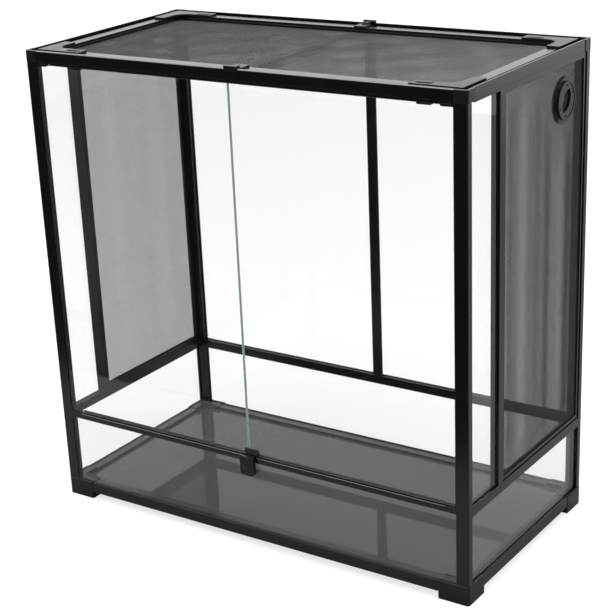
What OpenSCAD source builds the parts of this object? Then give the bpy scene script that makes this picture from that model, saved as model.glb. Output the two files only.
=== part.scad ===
// Reptile terrarium: black extruded bars held by plastic corner feet and caps, glass
// panes, two side-hung front doors with a key lock, mesh side windows, a round cable
// port and a lift-off mesh screen lid.
// Millimetres, +Z up. The origin is on the ground, in the middle of the base.

/* [Cabinet] */
// Width over the metal bars
cab_w = 898; // [760:1:1200]
// Depth over the metal bars
cab_d = 448; // [410:1:600]
// Height from the ground to the top of the rim
cab_h = 890; // [700:1:1200]
// Width of the base bars, the posts and the top bars
bar_w = 24; // [22:0.5:28]
// Wall of the hollow bars
bar_wall = 1.8; // [1.2:0.1:2.2]
// How far the plastic feet and caps stand proud of the bars
plastic_proud = 1; // [0.5:0.1:2]
// Sideways offset of the middle fittings of the back and the lid
mid_x = 8; // [-20:0.5:20]

/* [Base] */
// Height of the feet, where the posts stand
foot_h = 36; // [36:0.5:44]
// Length of a foot along the front and back
foot_arm_x = 60; // [45:1:90]
// Length of a foot along the sides
foot_arm_y = 56; // [45:1:90]
// Radius of the upright outer edge of the feet and caps
foot_r = 6; // [2:0.5:10]
// Thickness of the lip along the inside of the feet
foot_lip_t = 3; // [2:0.5:5]
// Height of the lip above the foot
foot_lip_h = 2.5; // [1:0.5:5]
// Ground clearance under the base bars
base_bar_z = 13.5; // [8:0.5:14]
// Height of the base bars
base_bar_h = 21; // [20:0.5:22]
// Drop from the base bars' top to the floor glass
floor_drop = 5.5; // [5:0.5:7]
// Length of the plastic spigots in the hollow bars
spigot_len = 16; // [8:1:30]
// Play between a spigot and its bar
spigot_gap = 0.2; // [0.1:0.05:0.4]

/* [Posts and cross bars] */
// Depth of the posts
post_d = 14; // [12:0.5:16]
// Radius of the posts' outer edge
post_r = 3; // [1:0.5:4]
// Height of the underside of the back and side cross bars
cross_z = 165; // [120:1:240]
// Height of the back and side cross bars
cross_h = 18; // [15:0.5:24]
// Depth of the back and side cross bars
cross_d = 13; // [11:0.5:16]
// Width of the back divider
back_div_w = 17.5; // [14:0.5:24]
// Depth of the back divider
back_div_d = 10; // [9:0.5:13]
// Distance from the front face to the back edge of the side dividers
side_div_back = 124; // [100:1:180]
// Width of the side dividers' body
side_div_w = 25; // [20:0.5:32]
// Depth of the side dividers
side_div_d = 11; // [10.5:0.5:12.5]
// Width of the side dividers' cover strip
side_strip_w = 15; // [10:0.5:15]
// Thickness of the side dividers' cover strip
side_strip_t = 3.7; // [3.6:0.1:3.7]
// Distance between the back ends of the divider body and its cover strip
side_strip_lap = 1; // [0.5:0.1:1.5]

/* [Door sill] */
// Height of the underside of the door sill
sill_z = 171; // [120:1:240]
// Height of the sill up to its tread
sill_h = 10.5; // [10:0.5:14]
// Depth of the sill
sill_d = 13; // [11:0.5:16]
// Radius of the bead along the sill's front edge
sill_bead_r = 2.2; // [1:0.1:3]
// Distance from the sill's front face to its back lip
sill_lip_in = 7; // [6.5:0.5:8]
// Thickness of the sill's back lip
sill_lip_t = 3.5; // [2:0.5:4]
// Height of the back lip above the tread
sill_lip_h = 4.5; // [3:0.5:6]
// Distance from the posts to the ends of the door stop lips
lip_end = 25; // [25:1:40]

/* [Top bars] */
// Height of the top bars, from their underside to the rim
top_h = 23; // [21.5:0.5:26]
// Height of the ledge that carries the lid
ledge_h = 9; // [8.5:0.5:10]
// Thickness of the rim
rim_t = 5; // [4:0.5:6]
// Radius of the rim's outer top edge
rim_r = 2.5; // [1:0.5:3.5]
// Height of the groove line above the bar's underside
line_z = 3.5; // [2:0.5:6]
// Width of the groove line
line_w = 1; // [0.5:0.1:1.5]
// Depth of the groove line
line_d = 0.5; // [0.2:0.1:0.5]
// Height of the corner caps
cap_h = 21; // [19:0.5:21]
// How far the upper door stop hangs below the front top bar
stop_drop = 3; // [2:0.5:4]

/* [Glass] */
// Thickness of the panes
glass_t = 4; // [3:0.5:4]
// Thickness of the floor pane
floor_glass_t = 5; // [4:0.5:6]
// Depth of a pane in its groove
pane_in = 5; // [4:0.5:5.5]
// Depth of the floor pane in the base bars
floor_in = 6; // [4:0.5:7]
// Play round a pane in its groove
seat_gap = 0.3; // [0.2:0.05:0.4]
// Setback of the front glass from the front face
front_glass_in = 1; // [0.9:0.1:1.5]
// Setback of the back glass from the back face
back_glass_in = 4; // [3:0.5:4]
// Setback of the side glass from the side faces
side_glass_in = 4; // [4:0.1:4.5]
// Width of the side strips of glass that the dividers lap
strip_lap = 9; // [5:0.5:10]

/* [Side mesh] */
// Thickness of the mesh
mesh_t = 0.5; // [0.3:0.1:1]
// Width of the mesh frames' bars
mesh_bar_w = 7.5; // [6:0.5:12]
// Depth of the mesh frames' bars
mesh_bar_d = 9; // [6:0.5:9]
// Setback of the mesh frames from the side faces
mesh_bar_in = 2; // [1:0.5:3]
// Depth of the mesh in its bars
mesh_in = 3; // [2:0.5:5]
// Gap between separate bars of one frame
joint_gap = 0.2; // [0.1:0.05:0.4]

/* [Cable port] */
// Distance from the back face to the centre of the port
port_back = 94; // [80:1:130]
// Distance from the rim to the centre of the port
port_drop = 90; // [75:1:300]
// Diameter of the flange
port_d = 80; // [78:1:96]
// Thickness of the flange
port_flange_t = 2.5; // [2:0.1:3]
// Diameter of the raised collar
port_collar_d = 67; // [66:0.5:68]
// Height of the collar above the flange
port_collar_h = 4.3; // [4.3:0.1:5]
// Wall of the collar
port_collar_t = 2.5; // [2:0.1:3]
// How far the collar's lip reaches over the shutter
port_lip = 1; // [0.8:0.1:1.5]
// Outer diameter of the sleeve through the mesh
port_sleeve_d = 58; // [56:0.5:60]
// Wall of the sleeve
port_sleeve_t = 3; // [2:0.5:4]
// Thickness of the clamp ring behind the mesh
port_clamp_t = 2.5; // [2:0.1:3]
// Thickness of the shutter
shutter_t = 3; // [2:0.1:3]
// Play round the shutter
shutter_gap = 0.3; // [0.2:0.05:0.4]
// Length of the pointed window
window_l = 44; // [30:1:46]
// Width of the pointed window
window_w = 28; // [15:1:29]
// Turn of the window's long axis from the horizontal
window_tilt = 55; // [0:5:90]
// Diameter of the finger studs
stud_d = 3; // [2:0.5:5]
// Radius of the circle of studs
stud_r = 26; // [24:0.5:26.5]
// Turn of a stud from the window's tip
stud_turn = 32; // [20:1:45]
// Thread diameter of the port screws
port_screw_d = 2.5; // [2:0.1:3]
// Head diameter of the port screws
port_head_d = 5; // [4:0.1:5.2]
// Head height of the port screws
port_head_h = 1.2; // [0.8:0.1:2]
// Play round the port screws
port_screw_gap = 0.16; // [0.1:0.02:0.3]

/* [Doors] */
// Gap between the two doors
door_gap = 1; // [0.8:0.1:2]
// Gap between a door's edge and the post
door_edge = 0.8; // [0.7:0.1:1.5]
// Gap between the tread and the door glass
door_foot = 2.5; // [2:0.1:4]
// Gap between the door glass and the front top bar
door_head = 1.5; // [1.2:0.1:2]
// Distance from the post to the hinge axis
hinge_in = 11.5; // [9:0.5:16]
// Length of the hinge shoes
shoe_l = 22.3; // [18:0.1:30]
// Height of the hinge shoes
shoe_h = 4.3; // [4:0.1:8]
// Setback of the hinge shoes from the door's edge
shoe_edge = 0.2; // [0:0.1:1]
// Thickness of the hinge shoes, front to back
shoe_t = 7; // [6.4:0.1:7]
// Gap between the lower shoe and the tread
shoe_low = 0.7; // [0.4:0.1:1]
// Gap between the upper shoe and the top bar
shoe_high = 0.3; // [0.2:0.1:0.5]
// Diameter of the hinge pins
pin_d = 4; // [3:0.1:4]
// Radial play of a pin or barrel in its bore
bore_play = 0.04; // [0.02:0.01:0.09]
// Material left under the lower bores
pin_web = 0.7; // [0.5:0.1:1]
// Depth of the upper bores
top_bore = 8; // [6:0.5:8]
// Gap at the end of a pin
pin_end = 0.4; // [0.2:0.1:1]
// Thickness of the strike plates
strike_t = 2; // [1:0.1:2.2]
// Height of the strike plates
strike_h = 14; // [10:0.5:20]
// Width of the left door's strike plate
strike_left = 6.3; // [4:0.1:24]
// Width of the right door's strike plate
strike_right = 22.3; // [4:0.1:24]
// Gap from the middle to each strike plate
strike_mid = 0.7; // [0.6:0.1:1]

/* [Lock] */
// Width of the lock housing
lock_w = 30; // [28:0.5:40]
// Depth of the lock housing
lock_d = 8; // [7.5:0.1:12]
// How far the housing hangs below the tread
lock_drop = 35.5; // [34:0.5:45]
// How far the housing rises above the tread
lock_rise = 1.9; // [1:0.1:2]
// Radius of the housing's lower corners
lock_r = 6; // [2:0.5:8]
// Wall in front of the bolt
lock_wall = 1; // [0.8:0.1:1.2]
// Sideways place of the key barrel
key_x = -4; // [-6:0.5:6]
// Height of the key barrel above the housing's bottom
key_z = 16; // [12:0.5:16]
// Diameter of the key barrel
key_d = 9; // [8:0.5:10]
// Length of the key barrel
key_l = 6.4; // [5:0.1:6.4]
// How far the barrel stands proud of the housing
key_proud = 0.6; // [0.3:0.1:1]
// Width of the bolt
bolt_w = 24; // [16:0.5:24]
// Thickness of the bolt
bolt_t = 5; // [3:0.1:5]
// Height of the bolt
bolt_h = 15.2; // [12:0.1:15.2]
// Play round the bolt
bolt_gap = 0.2; // [0.1:0.05:0.3]
// Width of the key slot
key_slot_w = 1; // [0.8:0.1:2]
// Length of the key slot
key_slot_l = 6; // [3:0.5:8]
// Depth of the key slot
key_slot_d = 3; // [1:0.5:4]
// Diameter of the screw recess above the barrel
recess_d = 3; // [2:0.5:4]
// Depth of the screw recess
recess_depth = 0.5; // [0.3:0.1:0.7]
// Gap between the barrel and the screw recess
recess_gap = 1; // [0.5:0.1:2]

/* [Screen lid] */
// Gap between the lid and the rim
lid_gap = 11; // [5:0.5:12]
// Gap between the lid and the ledge
lid_seat = 0.3; // [0.2:0.05:0.5]
// Width of the lid's bars
lid_bar_w = 24; // [22:0.5:28]
// Height of the lid's bars
lid_bar_h = 10; // [8:0.5:10]
// Setback of the upper half of a bar
lid_step = 1.5; // [0.5:0.1:2]
// Height of the mesh above the lid's underside
lid_mesh_z = 0.7; // [0.5:0.1:2]
// Width of the crossbar
cross_bar_w = 19; // [14:0.5:26]
// Height of the crossbar under the lid
cross_bar_h = 8; // [5:0.5:9]
// Gap between the crossbar and the ledge
cross_bar_end = 1; // [0.5:0.1:2]
// Length of the corner pieces along the front and back
lid_arm_x = 96; // [95:1:120]
// Length of the corner pieces along the sides
lid_arm_y = 76; // [50:1:100]
// Thickness of the corner pieces
lid_corner_t = 3.5; // [2.5:0.1:4]
// Radius of the fillet inside the corner pieces
lid_fillet = 25; // [10:1:30]
// Distance from the lid's end to the middle of a latch
latch_in = 74.5; // [60:0.5:76]
// Width of a latch tongue
tongue_w = 25; // [15:0.5:30]
// Height of a latch tongue
tongue_h = 10.9; // [6:0.1:14]
// Depth of a latch tongue
tongue_d = 10; // [8:0.1:10]
// Gap between a tongue and the underside of the ledge
tongue_gap = 0.6; // [0.4:0.1:1]
// Gap between an open tongue and the edge of the ledge
tongue_edge = 0.5; // [0.3:0.1:0.9]
// Gap between a closed latch's stem and the edge of the ledge
stem_edge = 0.7; // [0.4:0.1:1]
// Travel of a latch
latch_travel = 4.5; // [3:0.1:4.5]
// Width of a latch stem
stem_w = 12; // [8:0.5:14]
// Depth of a latch stem
stem_d = 4.5; // [3.5:0.1:4.5]
// Length of a latch knob
knob_l = 28; // [20:0.5:32]
// Depth of a latch knob
knob_d = 8; // [6:0.1:8]
// How far a knob stands above its corner piece
knob_proud = 0.8; // [0.2:0.1:2]
// Play round a latch
latch_gap = 0.3; // [0.2:0.05:0.4]
// Width of the lid's middle blocks
block_w = 24; // [16:1:30]
// Height of the lid's middle blocks
block_h = 3.3; // [2:0.1:3.4]
// Width of the lift tabs
tab_w = 25; // [16:1:30]
// Depth of the lift tabs
tab_d = 7; // [5:0.5:9]
// Height of the lift tabs above the rim
tab_h = 4.5; // [3:0.5:6]
// Gap between the lift tabs and the rim
tab_gap = 0.4; // [0.3:0.1:0.8]
// Width of the strap that carries a tab
strap_w = 14; // [8:1:20]
// Thickness of the strap that carries a tab
strap_t = 2; // [1:0.1:2.5]
// Depth of the riser that carries a strap
riser_d = 4; // [2:0.5:6]
// Length of the hook outside the rim
hook_h = 6; // [3:0.5:10]

/* [Hidden] */

// Fineness of round outlines, and of the large ones in the port
$fn = 48;
fine = 96;

// How far a cut runs past a face, or a piece into the one that it grows from
cut = 1;

// The four sides, as quarter turns from the front
FRONT = 0;
RIGHT = 1;
BACK = 2;
LEFT = 3;

half_w = cab_w / 2;
half_d = cab_d / 2;
corner_w = bar_w + plastic_proud;

// Inner faces of the side bars, of the front and back bars, and of the posts
inner_x = half_w - bar_w;
inner_y = half_d - bar_w;
post_y = half_d - post_d;

// Heights, from the ground up
base_top = base_bar_z + base_bar_h;
floor_top = base_top - floor_drop;
cross_top = cross_z + cross_h;
tread_z = sill_z + sill_h;
top_z = cab_h - top_h;
ledge_z = top_z + ledge_h;
cap_z = cab_h - cap_h;

// Hollow of the base bars, from the outer face and from the underside
base_hollow_w = bar_w - floor_in - seat_gap - 2 * bar_wall;
base_hollow_h = base_bar_h - pane_in - seat_gap - 2 * bar_wall;

// Hollow of the posts, from the outer faces
post_hollow_x = side_glass_in + glass_t + seat_gap + bar_wall;
post_hollow_w = bar_w - pane_in - seat_gap - bar_wall - post_hollow_x;
post_hollow_d = post_d - 2 * bar_wall;

// Hollow of the top bars, from the outer face and from the underside
top_hollow_y = post_hollow_x;
top_hollow_w = bar_w - top_hollow_y - bar_wall;
top_hollow_h = ledge_h - 2 * bar_wall;

// Panes
pane_x = inner_x + pane_in;
pane_y = post_y + pane_in;
floor_x = inner_x + floor_in;
floor_y = inner_y + floor_in;
front_y = -half_d + front_glass_in;
back_y = half_d - back_glass_in - glass_t;
side_x = half_w - side_glass_in - glass_t;
lower_z0 = base_top - pane_in;
lower_z1 = cross_z + pane_in;
upper_z0 = cross_top - pane_in;
upper_z1 = top_z + pane_in;
divider_edge = back_div_w / 2 - pane_in;
side_div_y = -half_d + side_div_back;
strip_y = side_div_y - side_strip_lap - side_div_w + strip_lap;

// Lower and upper corner points of every fixed pane
PANES = [
    ["floor", [-floor_x, -floor_y, floor_top - floor_glass_t], [floor_x, floor_y, floor_top]],
    ["front", [-pane_x, front_y, lower_z0], [pane_x, front_y + glass_t, sill_z + pane_in]],
    ["back", [-pane_x, back_y, lower_z0], [pane_x, back_y + glass_t, lower_z1]],
    ["left", [-side_x - glass_t, -pane_y, lower_z0], [-side_x, pane_y, lower_z1]],
    ["right", [side_x, -pane_y, lower_z0], [side_x + glass_t, pane_y, lower_z1]],
    ["upper_left", [-pane_x, back_y, upper_z0],
        [mid_x - divider_edge, back_y + glass_t, upper_z1]],
    ["upper_right", [mid_x + divider_edge, back_y, upper_z0],
        [pane_x, back_y + glass_t, upper_z1]],
    ["strip_left", [-side_x - glass_t, -pane_y, upper_z0], [-side_x, strip_y, upper_z1]],
    ["strip_right", [side_x, -pane_y, upper_z0], [side_x + glass_t, strip_y, upper_z1]]
];

// Side mesh, in its frame between the divider and the back post
mesh_x = half_w - mesh_bar_in - mesh_bar_d / 2;
frame_y0 = side_div_y + seat_gap;
frame_y1 = post_y - seat_gap;
frame_z0 = cross_top + seat_gap;
frame_z1 = top_z - seat_gap;

// Cable port, from the middle of the mesh outwards
port_y = half_d - port_back;
port_z = cab_h - port_drop;
plate_out = mesh_t / 2 + seat_gap;
collar_out = plate_out + port_flange_t;
shutter_out = collar_out + shutter_gap;
lip_out = shutter_out + shutter_t + shutter_gap;
port_out = collar_out + port_collar_h;
collar_bore = port_collar_d - 2 * port_collar_t;
sleeve_bore = port_sleeve_d - 2 * port_sleeve_t;
port_screw_r = (port_d + port_collar_d) / 4;

// Doors
hinge_x = inner_x - hinge_in;
hinge_y = front_y + glass_t / 2;
door_edge_x = inner_x - door_edge;
door_z0 = tread_z + door_foot;
door_z1 = top_z - door_head;
low_bore = sill_h - pane_in - seat_gap - pin_web;

// Lock
lock_z = tread_z - lock_drop;
lock_h = lock_drop + lock_rise;
bolt_y = -half_d - lock_d + lock_wall + bolt_t / 2;
bolt_z = lock_z + lock_h - bolt_h;

// Screen lid
lid_x = half_w - rim_t - lid_gap;
lid_y = half_d - rim_t - lid_gap;
lid_in_x = lid_x - lid_bar_w;
lid_in_y = lid_y - lid_bar_w;
lid_z = ledge_z + lid_seat;
lid_top = lid_z + lid_bar_h;
latch_x = lid_x - latch_in;
tongue_y = inner_y - tongue_edge;
tongue_top = top_z - tongue_gap;
stem_y = inner_y - latch_travel - stem_edge;

// ---- Shapes used more than once ----

// Box between two corner points, grown by g on every side
module slab(low, high, g = 0) {
    grow = [g, g, g];
    translate(low - grow)
        cube(high - low + 2 * grow);
}

// Places a shape drawn for the back right corner: side is -1 or 1 for left or right,
// end is -1 or 1 for front or back
module at_corner(side, end) {
    if (side < 0) {
        mirror([1, 0, 0]) at_corner(1, end) children();
    } else if (end < 0) {
        mirror([0, 1, 0]) children();
    } else {
        children();
    }
}

// Places a shape drawn inwards along +Y from the outer face of the front
module at_side(turn) {
    reach = turn % 2 == 0 ? half_d : half_w;
    rotate([0, 0, 90 * turn])
        translate([0, -reach, 0])
            children();
}

// Extrudes an outline of depth and height along X, about the middle
module along_x(length) {
    rotate([90, 0, 90])
        linear_extrude(length, center = true)
            children();
}

// L-shaped outline with its outer corner at the origin and its arms towards -X and -Y
module ell(arm_x, arm_y, width, r) {
    difference() {
        union() {
            translate([-arm_x, -width])
                square([arm_x, width]);
            translate([-width, -arm_y])
                square([width, arm_y]);
        }
        outer_round(r);
    }
}

// What a corner at the origin loses when it is rounded
module outer_round(r) {
    difference() {
        translate([-r, -r])
            square([r + cut, r + cut]);
        translate([-r, -r])
            circle(r = r);
    }
}

// Outline with round ends, centred on the origin
module stadium(length, width) {
    straight = length - width;
    square([straight, width], center = true);
    for (end = [-1, 1])
        translate([end * straight / 2, 0])
            circle(d = width);
}

// Outline that a stadium sweeps as it slides along Y
module swept_stadium(length, width, travel) {
    for (at = [0, travel])
        translate([0, at])
            stadium(length, width);
    translate([-length / 2, 0])
        square([length, travel]);
}

// Takes the grooves of all fixed panes out of its children
module grooved() {
    difference() {
        children();
        for (box = PANES)
            slab(box[1], box[2], seat_gap);
    }
}

module pane(name) {
    box = [for (p = PANES) if (p[0] == name) p][0];
    color("#cfdcd9")
        slab(box[1], box[2]);
}

// ---- Base ----

module foot(side, end) {
    color("#3b3a3a")
        grooved()
            at_corner(side, end)
                foot_body();
}

// Foot of the back right corner, with its lips and spigots
module foot_body() {
    out_x = half_w + plastic_proud;
    out_y = half_d + plastic_proud;
    arm_end_x = out_x - foot_arm_x;
    arm_end_y = out_y - foot_arm_y;
    hollow_z = base_bar_z + bar_wall;
    hollow_top = hollow_z + base_hollow_h;
    lip_top = foot_h + foot_lip_h;
    translate([out_x, out_y, 0])
        linear_extrude(foot_h)
            ell(foot_arm_x, foot_arm_y, corner_w, foot_r);
    lip_x = inner_x + foot_lip_t;
    lip_y = inner_y + foot_lip_t;
    slab([arm_end_x, inner_y, foot_h - cut], [lip_x, lip_y, lip_top]);
    slab([inner_x, arm_end_y, foot_h - cut], [lip_x, lip_y, lip_top]);
    // Spigots into the back bar, the side bar and the post
    slab([arm_end_x - spigot_len, half_d - bar_wall - base_hollow_w, hollow_z],
        [arm_end_x + spigot_gap, half_d - bar_wall, hollow_top], -spigot_gap);
    slab([half_w - bar_wall - base_hollow_w, arm_end_y - spigot_len, hollow_z],
        [half_w - bar_wall, arm_end_y + spigot_gap, hollow_top], -spigot_gap);
    post_spigot(foot_h - spigot_gap, foot_h + spigot_len);
}

// Spigot in the hollow of the back right post
module post_spigot(z0, z1) {
    slab([half_w - post_hollow_x - post_hollow_w, post_y + bar_wall, z0],
        [half_w - post_hollow_x, half_d - bar_wall, z1], -spigot_gap);
}

module base_bar(turn) {
    length = turn % 2 == 0
        ? cab_w + 2 * (plastic_proud - foot_arm_x)
        : cab_d + 2 * (plastic_proud - foot_arm_y);
    color("#1d1d1f")
        grooved()
            at_side(turn)
                translate([0, 0, base_bar_z])
                    along_x(length)
                        base_section();
}

module base_section() {
    difference() {
        square([bar_w, base_bar_h]);
        translate([bar_wall, bar_wall])
            square([base_hollow_w, base_hollow_h]);
    }
}

// ---- Posts, cross bars and dividers ----

module post(side, end) {
    color("#1d1d1f")
        grooved()
            at_corner(side, end)
                translate([half_w, half_d, foot_h])
                    linear_extrude(cap_z - foot_h)
                        post_section();
}

module post_section() {
    difference() {
        translate([-bar_w, -post_d])
            square([bar_w, post_d]);
        outer_round(post_r);
        translate([-post_hollow_x - post_hollow_w, -post_d + bar_wall])
            square([post_hollow_w, post_hollow_d]);
    }
}

module cross_bar(turn) {
    length = turn % 2 == 0 ? 2 * inner_x : 2 * post_y;
    color("#1d1d1f")
        grooved()
            at_side(turn)
                translate([0, 0, cross_z])
                    along_x(length)
                        square([cross_d, cross_h]);
}

module divider_back() {
    color("#1d1d1f")
        grooved()
            slab([mid_x - back_div_w / 2, half_d - back_div_d, cross_top],
                [mid_x + back_div_w / 2, half_d, top_z]);
}

// Side divider: its body is rebated for the glass strip, and a strip covers the joint
module divider_side(side) {
    strip_in = half_w - side_strip_t;
    body_y1 = side_div_y - side_strip_lap;
    color("#1d1d1f")
        at_corner(side, 1)
            difference() {
                union() {
                    slab([half_w - side_div_d, body_y1 - side_div_w, cross_top],
                        [strip_in, body_y1, top_z]);
                    slab([strip_in - cut, side_div_y - side_strip_w, cross_top],
                        [half_w, side_div_y, top_z]);
                }
                slab([side_x - seat_gap, body_y1 - side_div_w - cut, cross_top - cut],
                    [half_w + cut, strip_y + seat_gap, top_z + cut]);
            }
}

// ---- Door sill and top bars ----

module door_sill() {
    color("#1d1d1f")
        grooved()
            at_side(FRONT)
                difference() {
                    union() {
                        translate([0, 0, sill_z])
                            along_x(2 * inner_x)
                                sill_section();
                        slab([lip_end - inner_x, sill_lip_in, tread_z - cut],
                            [inner_x - lip_end, sill_lip_in + sill_lip_t, tread_z + sill_lip_h]);
                    }
                    hinge_bores(tread_z - low_bore, low_bore + cut);
                }
}

module sill_section() {
    difference() {
        square([sill_d, sill_h]);
        translate([0, sill_h])
            mirror([1, 0])
                outer_round(sill_bead_r);
    }
}

// Bores for both doors' pins, drawn from the front face
module hinge_bores(z, depth) {
    for (side = [-1, 1])
        translate([side * hinge_x, hinge_y + half_d, z])
            cylinder(d = pin_d + 2 * bore_play, h = depth);
}

module top_bar(turn) {
    length = turn % 2 == 0 ? 2 * inner_x : 2 * inner_y;
    color("#1d1d1f")
        grooved()
            at_side(turn)
                difference() {
                    union() {
                        translate([0, 0, top_z])
                            along_x(length)
                                top_section();
                        if (turn == FRONT)
                            slab([lip_end - inner_x, sill_lip_in, top_z - stop_drop],
                                [inner_x - lip_end, sill_lip_in + sill_lip_t, top_z + cut]);
                    }
                    if (turn == FRONT)
                        hinge_bores(top_z - cut, top_bore + cut);
                }
}

// Section of a top bar: a hollow ledge and a rim with a rounded outer edge
module top_section() {
    difference() {
        union() {
            square([bar_w, ledge_h]);
            square([rim_t, top_h]);
        }
        translate([0, top_h])
            mirror([1, 0])
                outer_round(rim_r);
        translate([top_hollow_y, bar_wall])
            square([top_hollow_w, top_hollow_h]);
        translate([-cut, line_z])
            square([cut + line_d, line_w]);
    }
}

module cap(side, end) {
    color("#2b2b2c")
        grooved()
            at_corner(side, end)
                cap_body();
}

// Cap of the back right corner, with its spigots
module cap_body() {
    out_x = half_w + plastic_proud;
    out_y = half_d + plastic_proud;
    hollow_z = max(top_z + bar_wall, cap_z - spigot_gap);
    hollow_top = top_z + bar_wall + top_hollow_h;
    difference() {
        translate([out_x, out_y, cap_z])
            linear_extrude(cap_h)
                difference() {
                    translate([-corner_w, -corner_w])
                        square(corner_w);
                    outer_round(foot_r);
                }
        slab([inner_x - cut, inner_y - cut, ledge_z],
            [half_w - rim_t, half_d - rim_t, cab_h + cut]);
    }
    // Spigots into the back bar, the side bar and the post
    slab([inner_x - spigot_len, half_d - top_hollow_y - top_hollow_w, hollow_z],
        [inner_x + spigot_gap, half_d - top_hollow_y, hollow_top], -spigot_gap);
    slab([half_w - top_hollow_y - top_hollow_w, inner_y - spigot_len, hollow_z],
        [half_w - top_hollow_y, inner_y + spigot_gap, hollow_top], -spigot_gap);
    post_spigot(cap_z - spigot_len, cap_z + spigot_gap);
}

// ---- Side mesh and cable port ----

module side_mesh(side) {
    color("#4a4a4c")
        at_corner(side, 1)
            difference() {
                slab([mesh_x - mesh_t / 2, frame_y0 + mesh_bar_w - mesh_in,
                        frame_z0 + mesh_bar_w - mesh_in],
                    [mesh_x + mesh_t / 2, frame_y1 - mesh_bar_w + mesh_in,
                        frame_z1 - mesh_bar_w + mesh_in]);
                if (side > 0)
                    at_port(-cut) {
                        cylinder(d = port_sleeve_d + 2 * seat_gap, h = 2 * cut);
                        port_screw_holes(2 * cut);
                    }
            }
}

// Four bars round the mesh, grooved for it
module mesh_frame(side) {
    bar_x1 = half_w - mesh_bar_in;
    bar_x0 = bar_x1 - mesh_bar_d;
    in_y0 = frame_y0 + mesh_bar_w;
    in_y1 = frame_y1 - mesh_bar_w;
    color("#1d1d1f")
        at_corner(side, 1)
            difference() {
                union() {
                    for (y = [frame_y0, in_y1])
                        slab([bar_x0, y, frame_z0], [bar_x1, y + mesh_bar_w, frame_z1]);
                    for (z = [frame_z0, frame_z1 - mesh_bar_w])
                        slab([bar_x0, in_y0 + joint_gap, z],
                            [bar_x1, in_y1 - joint_gap, z + mesh_bar_w]);
                }
                slab([mesh_x - mesh_t / 2, in_y0 - mesh_in, frame_z0 + mesh_bar_w - mesh_in],
                    [mesh_x + mesh_t / 2, in_y1 + mesh_in, frame_z1 - mesh_bar_w + mesh_in],
                    joint_gap);
            }
}

// Places a shape drawn outwards along +Z from the middle of the right mesh
module at_port(out) {
    translate([mesh_x + out, port_y, port_z])
        rotate([90, 0, 90])
            children();
}

module port_screw_holes(depth) {
    for (i = [0:3])
        rotate([0, 0, 45 + 90 * i])
            translate([port_screw_r, 0, 0])
                cylinder(d = port_screw_d + port_screw_gap, h = depth);
}

// Pointed window where two circles cross
module window() {
    r = (window_l * window_l + window_w * window_w) / (4 * window_w);
    rotate([0, 0, window_tilt])
        intersection_for (side = [-1, 1])
            translate([0, side * (r - window_w / 2)])
                circle(r = r, $fn = fine);
}

// Flange with its collar, the window plate and the sleeve through the mesh
module port_flange() {
    color("#232324")
        difference() {
            union() {
                at_port(plate_out)
                    cylinder(d = port_d, h = port_flange_t);
                at_port(collar_out - cut)
                    cylinder(d = port_collar_d, h = port_collar_h + cut);
                at_port(-port_clamp_t - plate_out)
                    cylinder(d = port_sleeve_d, h = port_clamp_t + 2 * plate_out + cut);
            }
            at_port(collar_out)
                cylinder(d = collar_bore, h = lip_out - collar_out);
            at_port(collar_out)
                cylinder(d = collar_bore - 2 * port_lip, h = port_collar_h + cut);
            at_port(-port_clamp_t - plate_out - cut)
                cylinder(d = sleeve_bore, h = port_clamp_t + 2 * plate_out + cut);
            at_port(-cut)
                linear_extrude(collar_out + 2 * cut)
                    window();
            at_port(plate_out - cut)
                port_screw_holes(port_flange_t + 2 * cut);
        }
}

module port_clamp_ring() {
    color("#232324")
        at_port(-plate_out - port_clamp_t)
            difference() {
                cylinder(d = port_d, h = port_clamp_t);
                translate([0, 0, -cut]) {
                    cylinder(d = port_sleeve_d + 2 * seat_gap, h = port_clamp_t + 2 * cut);
                    port_screw_holes(port_clamp_t + 2 * cut);
                }
            }
}

// Turning shutter with the same window and four finger studs
module port_shutter() {
    color("#161617") {
        at_port(shutter_out)
            linear_extrude(shutter_t)
                difference() {
                    circle(d = collar_bore - 2 * shutter_gap, $fn = fine);
                    window();
                }
        for (tip = [0, 180], turn = [-stud_turn, stud_turn])
            at_port(shutter_out + shutter_t - cut)
                rotate([0, 0, window_tilt + tip + turn])
                    translate([stud_r, 0, 0])
                        cylinder(d = stud_d, h = port_out - shutter_out - shutter_t + cut);
    }
}

module port_screws() {
    shank = port_clamp_t + 2 * plate_out + port_flange_t;
    color("#3a3a3b")
        for (i = [0:3])
            at_port(-plate_out - port_clamp_t)
                rotate([0, 0, 45 + 90 * i])
                    translate([port_screw_r, 0, 0]) {
                        cylinder(d = port_screw_d, h = shank);
                        translate([0, 0, shank])
                            cylinder(d = port_head_d, h = port_head_h);
                    }
}

// ---- Doors ----

module door_glass(side) {
    color("#cfdcd9")
        at_corner(side, 1)
            slab([door_gap / 2, front_y, door_z0], [door_edge_x, front_y + glass_t, door_z1]);
}

// Both hinge shoes with their pins, and the strike plate
module door_fittings(side) {
    strike_w = side < 0 ? strike_left : strike_right;
    high_z = top_z - shoe_high;
    low_z = tread_z + shoe_low;
    low_pin_z = tread_z - low_bore + pin_end;
    color("#2b2b2c")
        at_corner(side, 1) {
            difference() {
                for (z = [low_z, high_z - shoe_h])
                    slab([door_edge_x - shoe_l, hinge_y - shoe_t / 2, z],
                        [door_edge_x - shoe_edge, hinge_y + shoe_t / 2, z + shoe_h]);
                slab([door_edge_x - shoe_l - cut, front_y, door_z0],
                    [door_edge_x + cut, front_y + glass_t, door_z1], joint_gap);
            }
            hinge_pin(low_pin_z, low_z + cut);
            hinge_pin(high_z - cut, top_z + top_bore - pin_end);
            slab([strike_mid, front_y - strike_t, door_z0],
                [strike_mid + strike_w, front_y, door_z0 + strike_h]);
        }
}

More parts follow.
